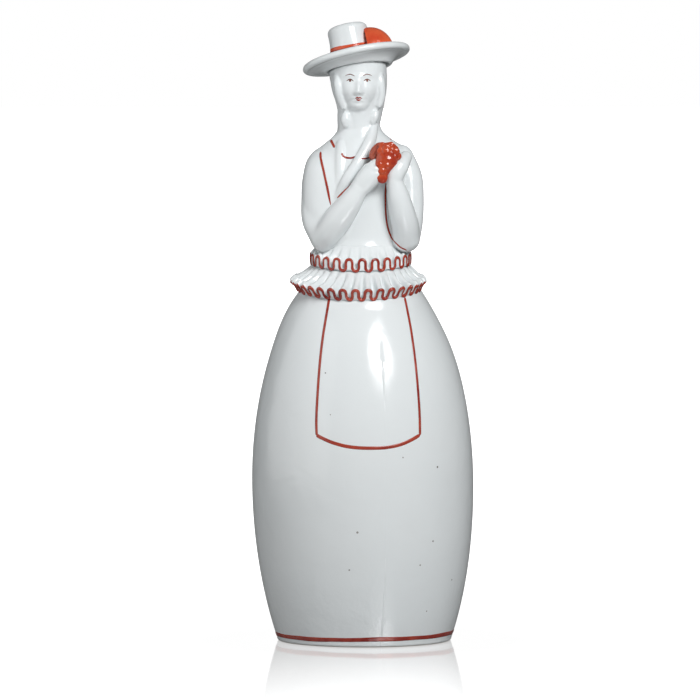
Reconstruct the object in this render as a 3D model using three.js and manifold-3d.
// A porcelain bottle in the shape of a lady: the crinoline skirt is the chamber, the bodice, neck and
// head are the passage, and the hat is the stopper. Millimetres, +Z up, the lady looks along -Y.
// Her right side is at -X. The origin is at the middle of the foot.
import * as THREE from 'three';
import { mergeVertices } from 'three/addons/utils/BufferGeometryUtils.js';
import Module from 'manifold-3d';

const wasm = await Module();
wasm.setup();

// Gap between pieces that are luted together or seated on each other
const GAP = 0.3;

// Skirt: two half ellipses that meet at the widest height, a foot ring and a collar on top
const BELLY_RADIUS = 53.7;
const BELLY_HEIGHT = 77;
const SKIRT_FALL = 122.7;
const SKIRT_RISE = 111.2;
const SKIRT_WALL = 4;
const FOOT_ROUND = 1.6;
const FOOT_RING = 5.5;
const BASE_RECESS = 3;
const BASE_THICKNESS = 5;
const COLLAR_RADIUS = 18.5;
const COLLAR_HEIGHT = 2;
const COLLAR_WALL = 4.5;

// Frills: pleated rings that droop a little at the front
const FRILL_WAVE = 1;
const LOWER_WAVES = 36;
const LOWER_RIM_DROP = 12.6;
const LOWER_RIM_DEPTH = 4.1;
const LOWER_DROOP = 4.1;
const LOWER_LIP = 1.1;
const LOWER_LEAN = 1.9;
const UPPER_WAVES = 24;
const UPPER_RIM_RADIUS = 24.5;
const UPPER_RIM_DROP = 0.5;
const UPPER_RIM_DEPTH = 4.3;
const UPPER_DROOP = 2.9;
const UPPER_FRILL_HEIGHT = 7.5;

// Bodice: half widths and half depths, and the heights above its base where they hold
const BODICE_WALL = 3.5;
const WAIST_HEIGHT = 8;
const RIB_HEIGHT = 19;
const RIB_HALF_WIDTH = 20.5;
const RIB_HALF_DEPTH = 16.2;
const CHEST_HEIGHT = 38;
const CHEST_HALF_WIDTH = 24.2;
const CHEST_HALF_DEPTH = 17.2;
const SHOULDER_HEIGHT = 50;
const SHOULDER_HALF_WIDTH = 23.6;
const SHOULDER_HALF_DEPTH = 14;
const SLOPE_HALF_WIDTH = 17.2;
const SLOPE_HALF_DEPTH = 11.8;
const BODICE_HEIGHT = 61;
const NECKLINE_HALF_WIDTH = 12;

// Neck and head, with the hair drawn close to the head
const NECK_HALF_WIDTH = 10.5;
const NECK_HEIGHT = 11;
const NECK_PASSAGE_RADIUS = 7.2;
const JAW_HEIGHT = 17;
const HEAD_HEIGHT = 33.5;
const HEAD_HALF_WIDTH = 13.6;
const HEAD_HALF_DEPTH = 14.4;
const HEAD_OFFSET = -2.2;
const NECK_BACK = 0.8;
const FACE_HALF_WIDTH = 9.2;
const FACE_HALF_HEIGHT = 12.2;
const FACE_REACH = 1;
const NOSE_LENGTH = 3.4;
const NOSE_WIDTH = 1.3;

// Arms: radii along each arm, and where the elbows and hands are
const SHOULDER_RADIUS = 6.4;
const UPPER_ARM_RADIUS = 7.2;
const ELBOW_RADIUS = 6.9;
const FOREARM_RADIUS = 6.3;
const WRIST_RADIUS = 4.4;
const HAND_RADIUS = 4.1;
const FINGER_RADIUS = 2.8;
const ELBOW_HEIGHT = 11.5;
const ELBOW_FORWARD = 8.5;
const ARM_BULGE = 15.2;
const FOREARM_HEIGHT = 22;
const FOREARM_FORWARD = 16.8;
const RIGHT_FOREARM_ASIDE = 11.5;
const RIGHT_WRIST_ASIDE = 1.7;
const RIGHT_WRIST_HEIGHT = 35.2;
const RIGHT_HAND_ACROSS = 4;
const RIGHT_HAND_HEIGHT = 42.5;
const RIGHT_FINGER_ACROSS = 8.2;
const RIGHT_FINGER_HEIGHT = 46.5;
const LEFT_FOREARM_ASIDE = 17.6;
const LEFT_WRIST_ASIDE = 15.6;
const LEFT_WRIST_HEIGHT = 38;
const LEFT_HAND_ASIDE = 17;
const LEFT_HAND_HEIGHT = 46;
const LEFT_FINGER_ASIDE = 18.6;
const LEFT_FINGER_HEIGHT = 51.5;
const LEFT_FINGER_TUCK = 4;

// Tresses, curls and posy
const TRESS_RADIUS = 2.9;
const TRESS_TIP_RADIUS = 1.9;
const RIGHT_TRESS_ASIDE = 10.8;
const LEFT_TRESS_START = 3.6;
const LEFT_TRESS_END = 8.6;
const RIGHT_CURL_RADIUS = 3.1;
const LEFT_CURL_RADIUS = 2.4;
const POSY_RADIUS = 5.2;
const BLOOM_RADIUS = 2.9;
const POSY_ASIDE = 11.9;
const POSY_HEIGHT = 52.6;
const POSY_FORWARD = 3.8;
const POSY_TAIL = 13;

// Stopper: a cork on a hollow peg under the hat, along an axis that leans back and to her right
const HAT_ROLL = THREE.MathUtils.degToRad(-12);
const HAT_PITCH = THREE.MathUtils.degToRad(-11.5);
const BORE_RADIUS = 9.3;
const BORE_TAPER = 0.9;
const CORK_LENGTH = 12;
const CORK_CLEARANCE = 0.3;
const PEG_RADIUS = 5;
const PEG_WALL = 1.8;
const HAT_COLLAR_RADIUS = 14.8;
const BRIM_RADIUS = 26.4;
const BRIM_RISE = 3.6;
const BRIM_THICKNESS = 2.8;
const CROWN_BASE_RADIUS = 10.6;
const CROWN_TOP_RADIUS = 9.7;
const CROWN_HEIGHT = 16.2;
const CROWN_WALL = 2.4;
const PLUME_LENGTH = 12;
const PLUME_HEIGHT = 13.3;
const PLUME_DEPTH = 9;

// Fineness of the faceted surfaces
const ROUND_SIDES = 40;
const BODY_SIDES = 28;
const LIMB_SIDES = 12;

// Places that follow from the sizes above
const collarBase = BELLY_HEIGHT + SKIRT_RISE * Math.sqrt(1 - (COLLAR_RADIUS / BELLY_RADIUS) ** 2);
const skirtTop = collarBase + COLLAR_HEIGHT;
const bodiceBase = skirtTop + GAP;
const neckBase = bodiceBase + BODICE_HEIGHT + GAP;
const cheekHeight = (JAW_HEIGHT + HEAD_HEIGHT) / 2;

// Finishes
const glaze = { color: 0xe4e8e8, roughness: 0.12, metalness: 0 };
const enamel = { color: 0xb8402a, roughness: 0.25, metalness: 0 };
const bisque = { color: 0xe8e2d6, roughness: 0.75, metalness: 0 };
const cork = { color: 0xb98a5a, roughness: 0.9, metalness: 0 };

function vector(x, y, z) {
  return new THREE.Vector3(x, y, z);
}

// A closed surface through rings of equal counts. Each ring runs anticlockwise seen from above, and the
// rings go up on the outside. A looped surface joins its last ring to the first, an open one is capped.
function surfaceThrough(rings, looped) {
  const sides = rings[0].length;
  const points = rings.flat();
  const faces = [];
  const bands = looped ? rings.length : rings.length - 1;
  for (let i = 0; i < bands; i += 1) {
    const low = i * sides;
    const high = ((i + 1) % rings.length) * sides;
    for (let j = 0; j < sides; j += 1) {
      const next = (j + 1) % sides;
      faces.push(low + j, low + next, high + next);
      faces.push(low + j, high + next, high + j);
    }
  }
  if (!looped) {
    const centre = (ring) => ring.reduce((sum, p) => sum.add(p), vector(0, 0, 0)).divideScalar(sides);
    const bottom = points.push(centre(rings[0])) - 1;
    const top = points.push(centre(rings.at(-1))) - 1;
    const last = (rings.length - 1) * sides;
    for (let j = 0; j < sides; j += 1) {
      const next = (j + 1) % sides;
      faces.push(bottom, next, j);
      faces.push(top, last + j, last + next);
    }
  }
  const geometry = new THREE.BufferGeometry().setFromPoints(points);
  geometry.setIndex(faces);
  return geometry;
}

function ovalRing(x, y, z, halfWidth, halfDepth, sides = BODY_SIDES) {
  return Array.from({ length: sides }, (_, i) => {
    const angle = (2 * Math.PI * i) / sides;
    return vector(x + halfWidth * Math.sin(angle), y - halfDepth * Math.cos(angle), z);
  });
}

// A turned piece about +Z from an outline of [radius, height] pairs, up the outside and down the inside
function turned(outline, sides = ROUND_SIDES) {
  const profile = outline.map(([radius, height]) => new THREE.Vector2(radius, height));
  return new THREE.LatheGeometry(profile, sides).rotateX(Math.PI / 2);
}

// Solids for joining and cutting
function solidOf(geometry) {
  const bare = geometry.clone();
  bare.deleteAttribute('normal');
  bare.deleteAttribute('uv');
  const merged = mergeVertices(bare, 1e-4);
  const index = merged.getIndex().array;
  const triangles = [];
  for (let i = 0; i < index.length; i += 3) {
    const [a, b, c] = [index[i], index[i + 1], index[i + 2]];
    if (a !== b && b !== c && c !== a) {
      triangles.push(a, b, c);
    }
  }
  return new wasm.Manifold(new wasm.Mesh({
    numProp: 3,
    vertProperties: new Float32Array(merged.getAttribute('position').array),
    triVerts: new Uint32Array(triangles),
  }));
}

// The largest piece of a solid, since a cut can leave crumbs behind
function mainBody(solid) {
  const pieces = solid.simplify(0.02).decompose();
  return pieces.reduce((best, piece) => (piece.volume() > best.volume() ? piece : best));
}

function geometryOf(solid) {
  const mesh = solid.getMesh();
  const geometry = new THREE.BufferGeometry();
  geometry.setAttribute('position', new THREE.BufferAttribute(mesh.vertProperties.slice(), 3));
  geometry.setIndex(Array.from(mesh.triVerts));
  return geometry;
}

function joined(solids) {
  return solids.reduce((sum, solid) => sum.add(solid));
}

function cutBy(solid, cutters) {
  return mainBody(cutters.reduce((rest, cutter) => rest.subtract(cutter), solid));
}

// The value of a smooth curve through [position, value] pairs, level at its ends
function smoothAt(pairs, position) {
  const last = pairs.length - 1;
  if (position <= pairs[0][0]) {
    return pairs[0][1];
  }
  if (position >= pairs[last][0]) {
    return pairs[last][1];
  }
  const i = pairs.findIndex((pair) => pair[0] > position) - 1;
  const slope = (k) => {
    const before = pairs[Math.max(k - 1, 0)];
    const after = pairs[Math.min(k + 1, last)];
    return (after[1] - before[1]) / (after[0] - before[0]);
  };
  const span = pairs[i + 1][0] - pairs[i][0];
  const t = (position - pairs[i][0]) / span;
  return pairs[i][1] * (1 + 2 * t) * (1 - t) ** 2
    + pairs[i + 1][1] * t ** 2 * (3 - 2 * t)
    + span * (slope(i) * t * (1 - t) ** 2 - slope(i + 1) * t ** 2 * (1 - t));
}

// A limb with a round section and ball ends along a smooth path
function limb(path, radii, extra = 0, steps = 8) {
  const curve = new THREE.CatmullRomCurve3(path, false, 'centripetal');
  const marks = radii.map((radius, i) => [i / (radii.length - 1), radius + extra]);
  const rings = [];
  const addRing = (centre, tangent, radius) => {
    const side = vector(0, 1, 0).cross(tangent).normalize();
    const front = tangent.clone().cross(side);
    rings.push(Array.from({ length: LIMB_SIDES }, (_, i) => {
      const angle = (2 * Math.PI * i) / LIMB_SIDES;
      return centre.clone()
        .addScaledVector(side, radius * Math.cos(angle))
        .addScaledVector(front, radius * Math.sin(angle));
    }));
  };
  const capAngles = [20, 50].map(THREE.MathUtils.degToRad);
  const startTangent = curve.getTangentAt(0);
  const endTangent = curve.getTangentAt(1);
  const startRadius = smoothAt(marks, 0);
  const endRadius = smoothAt(marks, 1);
  for (const angle of capAngles) {
    const centre = curve.getPointAt(0).addScaledVector(startTangent, -startRadius * Math.cos(angle));
    addRing(centre, startTangent, startRadius * Math.sin(angle));
  }
  for (let i = 0; i <= steps; i += 1) {
    addRing(curve.getPointAt(i / steps), curve.getTangentAt(i / steps), smoothAt(marks, i / steps));
  }
  for (const angle of capAngles.toReversed()) {
    const centre = curve.getPointAt(1).addScaledVector(endTangent, endRadius * Math.cos(angle));
    addRing(centre, endTangent, endRadius * Math.sin(angle));
  }
  return solidOf(surfaceThrough(rings, false));
}

function ball(centre, radius, detail = 1) {
  return solidOf(new THREE.IcosahedronGeometry(radius, detail).translate(centre.x, centre.y, centre.z));
}

// Skirt radius at a height, and the height of its shoulder at a radius
function skirtRadius(height, wall = 0) {
  const reach = (height < BELLY_HEIGHT ? SKIRT_FALL : SKIRT_RISE) - wall;
  return (BELLY_RADIUS - wall) * Math.sqrt(1 - ((height - BELLY_HEIGHT) / reach) ** 2);
}

function skirtShoulder(radius, wall = 0) {
  return BELLY_HEIGHT + (SKIRT_RISE - wall) * Math.sqrt(1 - (radius / (BELLY_RADIUS - wall)) ** 2);
}

// Points of the skirt's ellipse from the foot to the collar, or of its inner wall from floor to passage
function skirtCurve(fromHeight, toRadius, wall, lowSteps, highSteps) {
  const points = [];
  for (let i = 0; i < lowSteps; i += 1) {
    const height = fromHeight + ((BELLY_HEIGHT - fromHeight) * i) / lowSteps;
    points.push([skirtRadius(height, wall), height]);
  }
  const turn = Math.acos(toRadius / (BELLY_RADIUS - wall));
  for (let i = 0; i <= highSteps; i += 1) {
    const angle = (turn * i) / highSteps;
    const height = BELLY_HEIGHT + (SKIRT_RISE - wall) * Math.sin(angle);
    points.push([(BELLY_RADIUS - wall) * Math.cos(angle), height]);
  }
  return points;
}

function skirtShell() {
  const footRadius = skirtRadius(0);
  const floorTop = BASE_RECESS + BASE_THICKNESS;
  const passage = COLLAR_RADIUS - COLLAR_WALL;
  const outline = [
    [0, BASE_RECESS],
    [footRadius - FOOT_ROUND - FOOT_RING, BASE_RECESS],
    [footRadius - FOOT_ROUND - FOOT_RING, 0],
    [footRadius - FOOT_ROUND, 0],
    ...skirtCurve(FOOT_ROUND, COLLAR_RADIUS, 0, 5, 10),
    [COLLAR_RADIUS, skirtTop],
    [passage, skirtTop],
    ...skirtCurve(floorTop, passage, SKIRT_WALL, 4, 7).toReversed(),
    [0, floorTop],
  ];
  return turned(outline);
}

// Droop of a frill below its level at the back, at an angle from the front
function droopAt(droop, angle) {
  return droop * ((1 + Math.cos(angle)) / 2) ** 2;
}

// A frill from a function that gives its section, as [radius, height] pairs, at an angle and a wave
function frill(waves, phase, sectionAt) {
  const samples = waves * 4;
  const sections = Array.from({ length: samples }, (_, i) => {
    const angle = (2 * Math.PI * i) / samples;
    const wave = FRILL_WAVE * Math.cos(waves * angle + phase);
    return sectionAt(angle, wave).map(([radius, height]) => vector(
      radius * Math.sin(angle),
      -radius * Math.cos(angle),
      height,
    ));
  });
  const rings = sections[0].map((_, k) => sections.map((section) => section[k]));
  return surfaceThrough(rings, true);
}

function upperRimBottom(angle) {
  return skirtTop - UPPER_RIM_DROP - droopAt(UPPER_DROOP, angle);
}

// Height of the lower frill's plain seat, which the upper frill rests on, at an angle and a radius
function frillSeat(angle, radius) {
  const inner = COLLAR_RADIUS + GAP;
  const rimSeat = upperRimBottom(angle) - FRILL_WAVE - GAP;
  return rimSeat + ((skirtTop - rimSeat) * (UPPER_RIM_RADIUS - radius)) / (UPPER_RIM_RADIUS - inner);
}

function lowerFrill() {
  const inner = COLLAR_RADIUS + GAP;
  return frill(LOWER_WAVES, Math.PI, (angle, wave) => {
    const bottom = skirtTop - LOWER_RIM_DROP - droopAt(LOWER_DROOP, angle);
    const restRadius = skirtRadius(bottom - FRILL_WAVE);
    const rim = restRadius + LOWER_LIP;
    const seat = frillSeat(angle, UPPER_RIM_RADIUS);
    const under = [0, 0.36, 0.7, 1].map((share) => {
      const radius = inner + (restRadius - inner) * share;
      return [radius, skirtShoulder(radius) + GAP];
    });
    const top = bottom + LOWER_RIM_DEPTH;
    const half = (rim + LOWER_LEAN + UPPER_RIM_RADIUS) / 2;
    return [
      ...under,
      [rim, bottom + wave],
      [rim + LOWER_LEAN, top + wave],
      [half, (top + seat) / 2 + 0.4 * FRILL_WAVE + 0.6 * wave],
      [UPPER_RIM_RADIUS, seat],
      [inner, skirtTop],
    ];
  });
}

function upperFrill() {
  const inner = COLLAR_RADIUS + GAP;
  return frill(UPPER_WAVES, 0, (angle, wave) => {
    const bottom = upperRimBottom(angle);
    const top = bottom + UPPER_RIM_DEPTH;
    const crown = skirtTop + UPPER_FRILL_HEIGHT;
    return [
      [inner, skirtTop + GAP],
      [UPPER_RIM_RADIUS - LOWER_LIP, frillSeat(angle, UPPER_RIM_RADIUS - LOWER_LIP) + GAP],
      [UPPER_RIM_RADIUS, bottom + wave],
      [UPPER_RIM_RADIUS, top + wave],
      [(inner + UPPER_RIM_RADIUS) / 2, (top + crown) / 2 + 0.6 * wave],
      [inner, crown],
    ];
  });
}

// Everything that the upper frill fills, with the gap, for cutting what rests on it
function frillEnvelope() {
  const rim = UPPER_RIM_RADIUS + GAP;
  const rimTop = skirtTop - UPPER_RIM_DROP + UPPER_RIM_DEPTH + FRILL_WAVE + GAP;
  const crown = skirtTop + UPPER_FRILL_HEIGHT + FRILL_WAVE;
  const floor = skirtTop - LOWER_RIM_DROP;
  return solidOf(turned([[0, floor], [rim, floor], [rim, rimTop], [COLLAR_RADIUS, crown], [0, crown]]));
}

// Half width and half depth of the bodice at a height above its base
function bodiceHalfWidth(height) {
  return smoothAt([
    [0, COLLAR_RADIUS],
    [WAIST_HEIGHT, COLLAR_RADIUS],
    [RIB_HEIGHT, RIB_HALF_WIDTH],
    [CHEST_HEIGHT, CHEST_HALF_WIDTH],
    [SHOULDER_HEIGHT, SHOULDER_HALF_WIDTH],
    [(SHOULDER_HEIGHT + BODICE_HEIGHT) / 2, SLOPE_HALF_WIDTH],
    [BODICE_HEIGHT, NECKLINE_HALF_WIDTH],
  ], height);
}

function bodiceHalfDepth(height) {
  return smoothAt([
    [0, COLLAR_RADIUS],
    [WAIST_HEIGHT, COLLAR_RADIUS],
    [RIB_HEIGHT, RIB_HALF_DEPTH],
    [CHEST_HEIGHT, CHEST_HALF_DEPTH],
    [SHOULDER_HEIGHT, SHOULDER_HALF_DEPTH],
    [(SHOULDER_HEIGHT + BODICE_HEIGHT) / 2, SLOPE_HALF_DEPTH],
    [BODICE_HEIGHT, NECKLINE_HALF_WIDTH - 1],
  ], height);
}

function bodiceRings(extra, heights) {
  return heights.map((height) => ovalRing(
    0,
    0,
    bodiceBase + height,
    bodiceHalfWidth(height) + extra,
    bodiceHalfDepth(height) + extra,
  ));
}

function bodiceInnerRings(heights) {
  const inside = (size, height) => {
    const above = Math.min(height + BODICE_WALL, BODICE_HEIGHT);
    return Math.max(NECK_PASSAGE_RADIUS, Math.min(size(height), size(above)) - BODICE_WALL);
  };
  return heights.map((height) => ovalRing(
    0,
    0,
    bodiceBase + height,
    inside(bodiceHalfWidth, height),
    inside(bodiceHalfDepth, height),
  ));
}

const bodiceHeights = [
  0,
  WAIST_HEIGHT,
  (WAIST_HEIGHT + RIB_HEIGHT) / 2,
  RIB_HEIGHT,
  (RIB_HEIGHT + CHEST_HEIGHT) / 2,
  CHEST_HEIGHT,
  (CHEST_HEIGHT + SHOULDER_HEIGHT) / 2,
  SHOULDER_HEIGHT,
  SHOULDER_HEIGHT + (BODICE_HEIGHT - SHOULDER_HEIGHT) * 0.25,
  SHOULDER_HEIGHT + (BODICE_HEIGHT - SHOULDER_HEIGHT) * 0.5,
  SHOULDER_HEIGHT + (BODICE_HEIGHT - SHOULDER_HEIGHT) * 0.75,
  BODICE_HEIGHT,
];

function bodiceShell() {
  const inner = bodiceHeights.filter((_, i) => i % 2 === 0 || i > 6);
  const rings = [...bodiceRings(0, bodiceHeights), ...bodiceInnerRings(inner).toReversed()];
  return surfaceThrough(rings, true);
}

function bodiceForm() {
  return solidOf(surfaceThrough(bodiceRings(GAP, bodiceHeights), false));
}

// The middle of the neck and head at a height above the neck's base
function headCentre(height) {
  const aside = smoothAt([
    [0, HEAD_OFFSET / 3],
    [NECK_HEIGHT, HEAD_OFFSET / 2],
    [HEAD_HEIGHT, HEAD_OFFSET],
  ], height);
  const back = smoothAt([
    [0, NECK_BACK / 2],
    [NECK_HEIGHT, NECK_BACK],
    [cheekHeight, 0],
  ], height);
  return vector(aside, back, neckBase + height);
}

const headOver = HEAD_HEIGHT + 9;
const headHeights = [
  0,
  NECK_HEIGHT * 0.3,
  NECK_HEIGHT * 0.65,
  NECK_HEIGHT,
  (NECK_HEIGHT + JAW_HEIGHT) / 2,
  JAW_HEIGHT,
  (JAW_HEIGHT + cheekHeight) / 2,
  cheekHeight,
  HEAD_HEIGHT,
  headOver,
];

function headHalfWidth(height) {
  return smoothAt([
    [0, NECKLINE_HALF_WIDTH - 0.5],
    [NECK_HEIGHT * 0.4, NECK_HALF_WIDTH],
    [NECK_HEIGHT, NECK_HALF_WIDTH],
    [JAW_HEIGHT, (HEAD_HALF_WIDTH + NECK_HALF_WIDTH) / 2 + 0.4],
    [cheekHeight, HEAD_HALF_WIDTH],
    [headOver, HEAD_HALF_WIDTH - 0.4],
  ], height);
}

function headHalfDepth(height) {
  return smoothAt([
    [0, NECKLINE_HALF_WIDTH - 1.5],
    [NECK_HEIGHT * 0.4, NECK_HALF_WIDTH],
    [NECK_HEIGHT, NECK_HALF_WIDTH],
    [JAW_HEIGHT, HEAD_HALF_DEPTH - 2.2],
    [cheekHeight, HEAD_HALF_DEPTH],
    [headOver, HEAD_HALF_DEPTH],
  ], height);
}

// A point on the neck or head at a height and an angle from the front, moved out from the surface
function onHead(height, degrees, out) {
  const angle = THREE.MathUtils.degToRad(degrees);
  const across = (headHalfWidth(height) + out) * Math.sin(angle);
  const forward = (headHalfDepth(height) + out) * Math.cos(angle);
  return headCentre(height).add(vector(across, -forward, 0));
}

function headForm(extra) {
  const rings = headHeights.map((height) => {
    const centre = headCentre(height);
    return ovalRing(
      centre.x,
      centre.y,
      centre.z,
      headHalfWidth(height) + extra,
      headHalfDepth(height) + extra,
    );
  });
  return solidOf(surfaceThrough(rings, false));
}

// The face stands a little out of the hair, with its chin just above the neck
function faceForm() {
  const centre = headCentre(NECK_HEIGHT + FACE_HALF_HEIGHT + 0.4);
  const depth = HEAD_HALF_DEPTH * 0.8;
  const face = new THREE.IcosahedronGeometry(1, 4)
    .scale(FACE_HALF_WIDTH, depth, FACE_HALF_HEIGHT)
    .translate(centre.x, centre.y - HEAD_HALF_DEPTH - FACE_REACH + depth, centre.z);
  const noseHeight = JAW_HEIGHT + FACE_HALF_HEIGHT * 0.45;
  const bridge = onHead(noseHeight + NOSE_LENGTH / 2, 0, FACE_REACH - NOSE_WIDTH * 0.5);
  const tip = onHead(noseHeight - NOSE_LENGTH / 2, 0, FACE_REACH + NOSE_WIDTH * 0.1);
  return joined([solidOf(face), limb([bridge, tip], [NOSE_WIDTH * 0.6, NOSE_WIDTH], 0, 2)]);
}

// The frame of the stopper: its origin is on the head's cut top and its +Z is the way the stopper lifts
const seamPoint = headCentre(HEAD_HEIGHT);
const stopperFrame = new THREE.Matrix4().compose(
  seamPoint,
  new THREE.Quaternion().setFromEuler(new THREE.Euler(HAT_PITCH, HAT_ROLL, 0)),
  vector(1, 1, 1),
);

function boreAt(depth) {
  return BORE_RADIUS - (BORE_TAPER * depth) / CORK_LENGTH;
}

function neckAndHead() {
  const above = new THREE.BoxGeometry(4 * BRIM_RADIUS, 4 * BRIM_RADIUS, BRIM_RADIUS)
    .translate(0, 0, BRIM_RADIUS / 2)
    .applyMatrix4(stopperFrame);
  const boreDepth = CORK_LENGTH + 1;
  const boreOutline = [[0, -boreDepth], [boreAt(boreDepth), -boreDepth], [boreAt(-1), 1], [0, 1]];
  const bore = turned(boreOutline, BODY_SIDES).applyMatrix4(stopperFrame);
  const boreEnd = vector(0, 0, -CORK_LENGTH).applyMatrix4(stopperFrame);
  const neckFoot = headCentre(0);
  const passage = surfaceThrough([
    ovalRing(neckFoot.x, neckFoot.y, neckFoot.z - 1, NECK_PASSAGE_RADIUS, NECK_PASSAGE_RADIUS, BODY_SIDES),
    ovalRing(boreEnd.x, boreEnd.y, boreEnd.z, NECK_PASSAGE_RADIUS, NECK_PASSAGE_RADIUS, BODY_SIDES),
  ], false);
  return cutBy(headForm(0).add(faceForm()), [solidOf(above), solidOf(bore), solidOf(passage)]);
}

// Arms: each is an upper arm and a forearm that ends in a hand
const shoulderSet = SHOULDER_HALF_WIDTH - SHOULDER_RADIUS + 2.2;
const elbowSet = RIB_HALF_WIDTH - 0.2;
const wristFront = -CHEST_HALF_DEPTH - WRIST_RADIUS;
const handFront = -CHEST_HALF_DEPTH - HAND_RADIUS;

function armForm(shoulderX, elbowX, middleX, forearmPath, forearmRadii, extra) {
  const shoulder = vector(shoulderX, 0, bodiceBase + SHOULDER_HEIGHT);
  const middle = vector(middleX, -2.5, bodiceBase + (SHOULDER_HEIGHT + ELBOW_HEIGHT) / 2 + 1);
  const elbow = vector(elbowX, -ELBOW_FORWARD, bodiceBase + ELBOW_HEIGHT);
  const upper = limb([shoulder, middle, elbow], [SHOULDER_RADIUS, UPPER_ARM_RADIUS, ELBOW_RADIUS], extra, 6);
  const fore = limb([elbow, ...forearmPath], [ELBOW_RADIUS, ...forearmRadii], extra, 10);
  return joined([upper, fore]);
}

function rightArmForm(extra) {
  return armForm(-shoulderSet, -elbowSet, -UPPER_ARM_RADIUS - ARM_BULGE, [
    vector(-RIGHT_FOREARM_ASIDE, -FOREARM_FORWARD, bodiceBase + FOREARM_HEIGHT),
    vector(-RIGHT_WRIST_ASIDE, wristFront, bodiceBase + RIGHT_WRIST_HEIGHT),
    vector(RIGHT_HAND_ACROSS, handFront, bodiceBase + RIGHT_HAND_HEIGHT),
    vector(RIGHT_FINGER_ACROSS, handFront, bodiceBase + RIGHT_FINGER_HEIGHT),
  ], [FOREARM_RADIUS, WRIST_RADIUS, HAND_RADIUS, FINGER_RADIUS], extra);
}

function leftArmForm(extra) {
  return armForm(shoulderSet, elbowSet, UPPER_ARM_RADIUS + ARM_BULGE, [
    vector(LEFT_FOREARM_ASIDE, -FOREARM_FORWARD, bodiceBase + FOREARM_HEIGHT),
    vector(LEFT_WRIST_ASIDE, wristFront, bodiceBase + LEFT_WRIST_HEIGHT),
    vector(LEFT_HAND_ASIDE, handFront, bodiceBase + LEFT_HAND_HEIGHT),
    vector(LEFT_FINGER_ASIDE, handFront + LEFT_FINGER_TUCK, bodiceBase + LEFT_FINGER_HEIGHT),
  ], [FOREARM_RADIUS, WRIST_RADIUS, HAND_RADIUS, FINGER_RADIUS], extra);
}

// Tresses: one hangs straight down, the other crosses the breast and meets it at the forearm
function chestFront(height, x) {
  return -bodiceHalfDepth(height) * Math.sqrt(1 - (x / bodiceHalfWidth(height)) ** 2);
}

function onChest(x, height, out) {
  return vector(x, chestFront(height, x) - out, bodiceBase + height);
}

function rightTressForm(extra) {
  return limb([
    onHead(NECK_HEIGHT, -64, 0.2),
    onHead(NECK_HEIGHT * 0.2, -62, 0.4),
    onChest(-RIGHT_TRESS_ASIDE, SHOULDER_HEIGHT - 1, 0.8),
    onChest(-RIGHT_TRESS_ASIDE - 0.6, CHEST_HEIGHT - 6, 0.4),
  ], [TRESS_TIP_RADIUS, TRESS_RADIUS, TRESS_RADIUS, TRESS_TIP_RADIUS], extra);
}

function leftTressForm(extra) {
  return limb([
    onHead(NECK_HEIGHT * 0.4, 50, 0),
    onChest(LEFT_TRESS_START, BODICE_HEIGHT - 2, 1.4),
    onChest((LEFT_TRESS_START - LEFT_TRESS_END) * 0.4, SHOULDER_HEIGHT, 2),
    onChest(-LEFT_TRESS_END, CHEST_HEIGHT + 1, 1.4),
  ], [TRESS_TIP_RADIUS, TRESS_RADIUS, TRESS_RADIUS, TRESS_TIP_RADIUS], extra);
}

function rightCurlForm(extra) {
  return limb([
    onHead(JAW_HEIGHT + 2, -48, 0.4),
    onHead(NECK_HEIGHT + 2, -48, 0.2),
    onHead(NECK_HEIGHT * 0.7, -38, -0.8),
  ], [1.6, RIGHT_CURL_RADIUS * 0.8, RIGHT_CURL_RADIUS], extra, 6);
}

function leftCurlForm(extra) {
  return limb([
    onHead(JAW_HEIGHT + 2, 56, 0.2),
    onHead(NECK_HEIGHT + 2, 50, 0),
    onHead(NECK_HEIGHT * 0.6, 43, -0.5),
  ], [1.4, LEFT_CURL_RADIUS * 0.9, LEFT_CURL_RADIUS], extra, 6);
}

// Posy: a round head of blooms between the hands with a short tail, and a leaf at its upper left
const posyCentre = vector(POSY_ASIDE, -CHEST_HALF_DEPTH - POSY_FORWARD, bodiceBase + POSY_HEIGHT);

function posyForm(extra) {
  const blooms = Array.from({ length: 7 }, (_, i) => {
    const angle = (2 * Math.PI * i) / 7;
    const reach = POSY_RADIUS - BLOOM_RADIUS + 1.6;
    const place = vector(reach * Math.cos(angle), -1.2, reach * Math.sin(angle));
    return ball(posyCentre.clone().add(place), BLOOM_RADIUS + extra);
  });
  const tailPath = [
    posyCentre,
    posyCentre.clone().add(vector(-1.2, 0.2, -POSY_TAIL * 0.6)),
    posyCentre.clone().add(vector(-0.6, 0.6, -POSY_TAIL)),
  ];
  const tail = limb(tailPath, [BLOOM_RADIUS, 1.9, 1.6], extra, 4);
  return joined([ball(posyCentre, POSY_RADIUS - 0.6 + extra), ...blooms, tail]);
}

function leafForm() {
  const centre = posyCentre.clone().add(vector(-5.2, -0.2, 2));
  const leaf = new THREE.IcosahedronGeometry(1, 2)
    .scale(4.4, 2, 2.6)
    .rotateY(-Math.PI / 3.4)
    .translate(centre.x, centre.y, centre.z);
  return solidOf(leaf);
}

// Stopper pieces, in the stopper's frame
const brimSeat = GAP;
const brimMiddle = BRIM_RISE;
const brimTop = brimMiddle + BRIM_THICKNESS / 2;

function corkSleeve() {
  const clearRadius = (depth) => boreAt(depth) - CORK_CLEARANCE;
  const inner = PEG_RADIUS + GAP;
  return turned([
    [inner, -CORK_LENGTH],
    [clearRadius(CORK_LENGTH), -CORK_LENGTH],
    [clearRadius(0), 0],
    [inner, 0],
    [inner, -CORK_LENGTH],
  ], BODY_SIDES);
}

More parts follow.
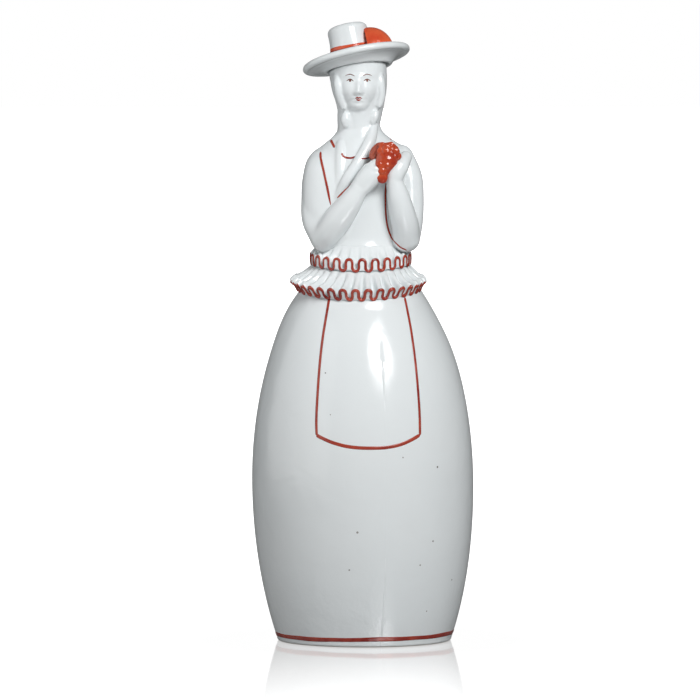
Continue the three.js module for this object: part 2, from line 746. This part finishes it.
function stopperPeg() {
  const bottom = -CORK_LENGTH - 0.8;
  const inner = PEG_RADIUS - PEG_WALL;
  return turned([
    [inner, bottom],
    [PEG_RADIUS, bottom],
    [PEG_RADIUS, brimTop],
    [inner, brimTop],
    [inner, bottom],
  ], BODY_SIDES);
}

function brimOutline(extra) {
  const half = BRIM_THICKNESS / 2 + extra;
  const edge = BRIM_RADIUS - half + extra;
  const rounded = [-60, -25, 0, 25, 60].map((degrees) => {
    const angle = THREE.MathUtils.degToRad(degrees);
    return [edge + half * Math.cos(angle), brimMiddle + half * Math.sin(angle)];
  });
  return [
    [HAT_COLLAR_RADIUS + extra, brimSeat - extra],
    [HAT_COLLAR_RADIUS + 0.5 + extra, brimMiddle - half - 0.3],
    [(HAT_COLLAR_RADIUS + BRIM_RADIUS) / 2, brimMiddle - half - 0.2],
    ...rounded,
    [(HAT_COLLAR_RADIUS + BRIM_RADIUS) / 2, brimMiddle + half - 0.5],
  ];
}

function hatBrim() {
  const inner = PEG_RADIUS + GAP;
  return turned([
    [inner, brimSeat],
    ...brimOutline(0),
    [CROWN_BASE_RADIUS, brimTop],
    [inner, brimTop],
    [inner, brimSeat],
  ]);
}

function crownOutline(extra) {
  const base = brimTop + GAP;
  const top = base + CROWN_HEIGHT;
  return [
    [CROWN_BASE_RADIUS + extra, base - extra],
    [(CROWN_BASE_RADIUS + CROWN_TOP_RADIUS) / 2 - 0.3 + extra, base + CROWN_HEIGHT / 2],
    [CROWN_TOP_RADIUS + extra, top - 3.4],
    [CROWN_TOP_RADIUS - 0.6 + extra, top - 1.9],
    [CROWN_TOP_RADIUS - 2.2 + extra, top - 0.9 + extra],
    [CROWN_TOP_RADIUS / 2, top + extra],
    [0, top + extra],
  ];
}

function hatCrown() {
  const base = brimTop + GAP;
  const ceiling = base + CROWN_HEIGHT - CROWN_WALL - 1;
  return turned([
    [0, ceiling],
    [CROWN_TOP_RADIUS - CROWN_WALL - 1, ceiling],
    [CROWN_TOP_RADIUS - CROWN_WALL, ceiling - 2],
    [CROWN_BASE_RADIUS - CROWN_WALL, base],
    ...crownOutline(0),
  ]);
}

// The plume is half an egg that stands on the brim, hollowed to fit round the crown
function hatPlume() {
  const lobe = new THREE.IcosahedronGeometry(1, 4)
    .scale(PLUME_LENGTH, PLUME_DEPTH, PLUME_HEIGHT)
    .translate(CROWN_TOP_RADIUS - 1.2, -2, brimTop);
  const crown = turned([[0, brimTop - 1], ...crownOutline(GAP)]);
  const block = 4 * BRIM_RADIUS;
  const below = new THREE.BoxGeometry(block, block, block).translate(0, 0, brimTop + GAP - block / 2);
  const beside = new THREE.BoxGeometry(block, block, block)
    .translate(CROWN_TOP_RADIUS * 0.65 - block / 2, 0, 0);
  return cutBy(solidOf(lobe), [solidOf(crown), solidOf(below), solidOf(beside)]);
}

// Assembly
const bottle = new THREE.Group();
const stopper = new THREE.Group();
stopper.position.copy(seamPoint);
stopper.rotation.set(HAT_PITCH, HAT_ROLL, 0);
bottle.add(stopper);

function place(group, name, geometry, finish) {
  const mesh = new THREE.Mesh(geometry, new THREE.MeshStandardMaterial(finish));
  mesh.name = name;
  group.add(mesh);
}

const bodice = bodiceForm();
const head = joined([headForm(GAP), faceForm()]);
const envelope = frillEnvelope();
const rightArm = cutBy(rightArmForm(0), [bodice, envelope]);
const leftArm = cutBy(leftArmForm(0), [bodice, envelope]);
const arms = joined([rightArmForm(GAP), leftArmForm(GAP)]);
const curls = joined([rightCurlForm(GAP), leftCurlForm(GAP)]);
const rightCurl = cutBy(rightCurlForm(0), [head, bodice]);
const leftCurl = cutBy(leftCurlForm(0), [head, bodice]);
const rightTress = cutBy(rightTressForm(0), [bodice, head, arms, curls]);
const leftTress = cutBy(leftTressForm(0), [bodice, head, arms, curls, rightTressForm(GAP)]);
const tresses = joined([rightTressForm(GAP), leftTressForm(GAP)]);
const posy = cutBy(posyForm(0), [bodice, arms, tresses]);
const leaf = cutBy(leafForm(), [bodice, arms, tresses, posyForm(GAP)]);

place(bottle, 'skirt_shell', skirtShell(), glaze);
place(bottle, 'lower_frill', lowerFrill(), glaze);
place(bottle, 'upper_frill', upperFrill(), glaze);
place(bottle, 'bodice_shell', bodiceShell(), glaze);
place(bottle, 'right_arm', geometryOf(rightArm), glaze);
place(bottle, 'left_arm', geometryOf(leftArm), glaze);
place(bottle, 'neck_and_head', geometryOf(neckAndHead()), glaze);
place(bottle, 'right_curl', geometryOf(rightCurl), glaze);
place(bottle, 'left_curl', geometryOf(leftCurl), glaze);
place(bottle, 'right_tress', geometryOf(rightTress), glaze);
place(bottle, 'left_tress', geometryOf(leftTress), glaze);
place(bottle, 'posy', geometryOf(posy), enamel);
place(bottle, 'posy_leaf', geometryOf(leaf), enamel);
place(stopper, 'cork_sleeve', corkSleeve(), cork);
place(stopper, 'stopper_peg', stopperPeg(), bisque);
place(stopper, 'hat_brim', hatBrim(), glaze);
place(stopper, 'hat_crown', hatCrown(), glaze);
place(stopper, 'hat_plume', geometryOf(hatPlume()), enamel);

export default bottle;
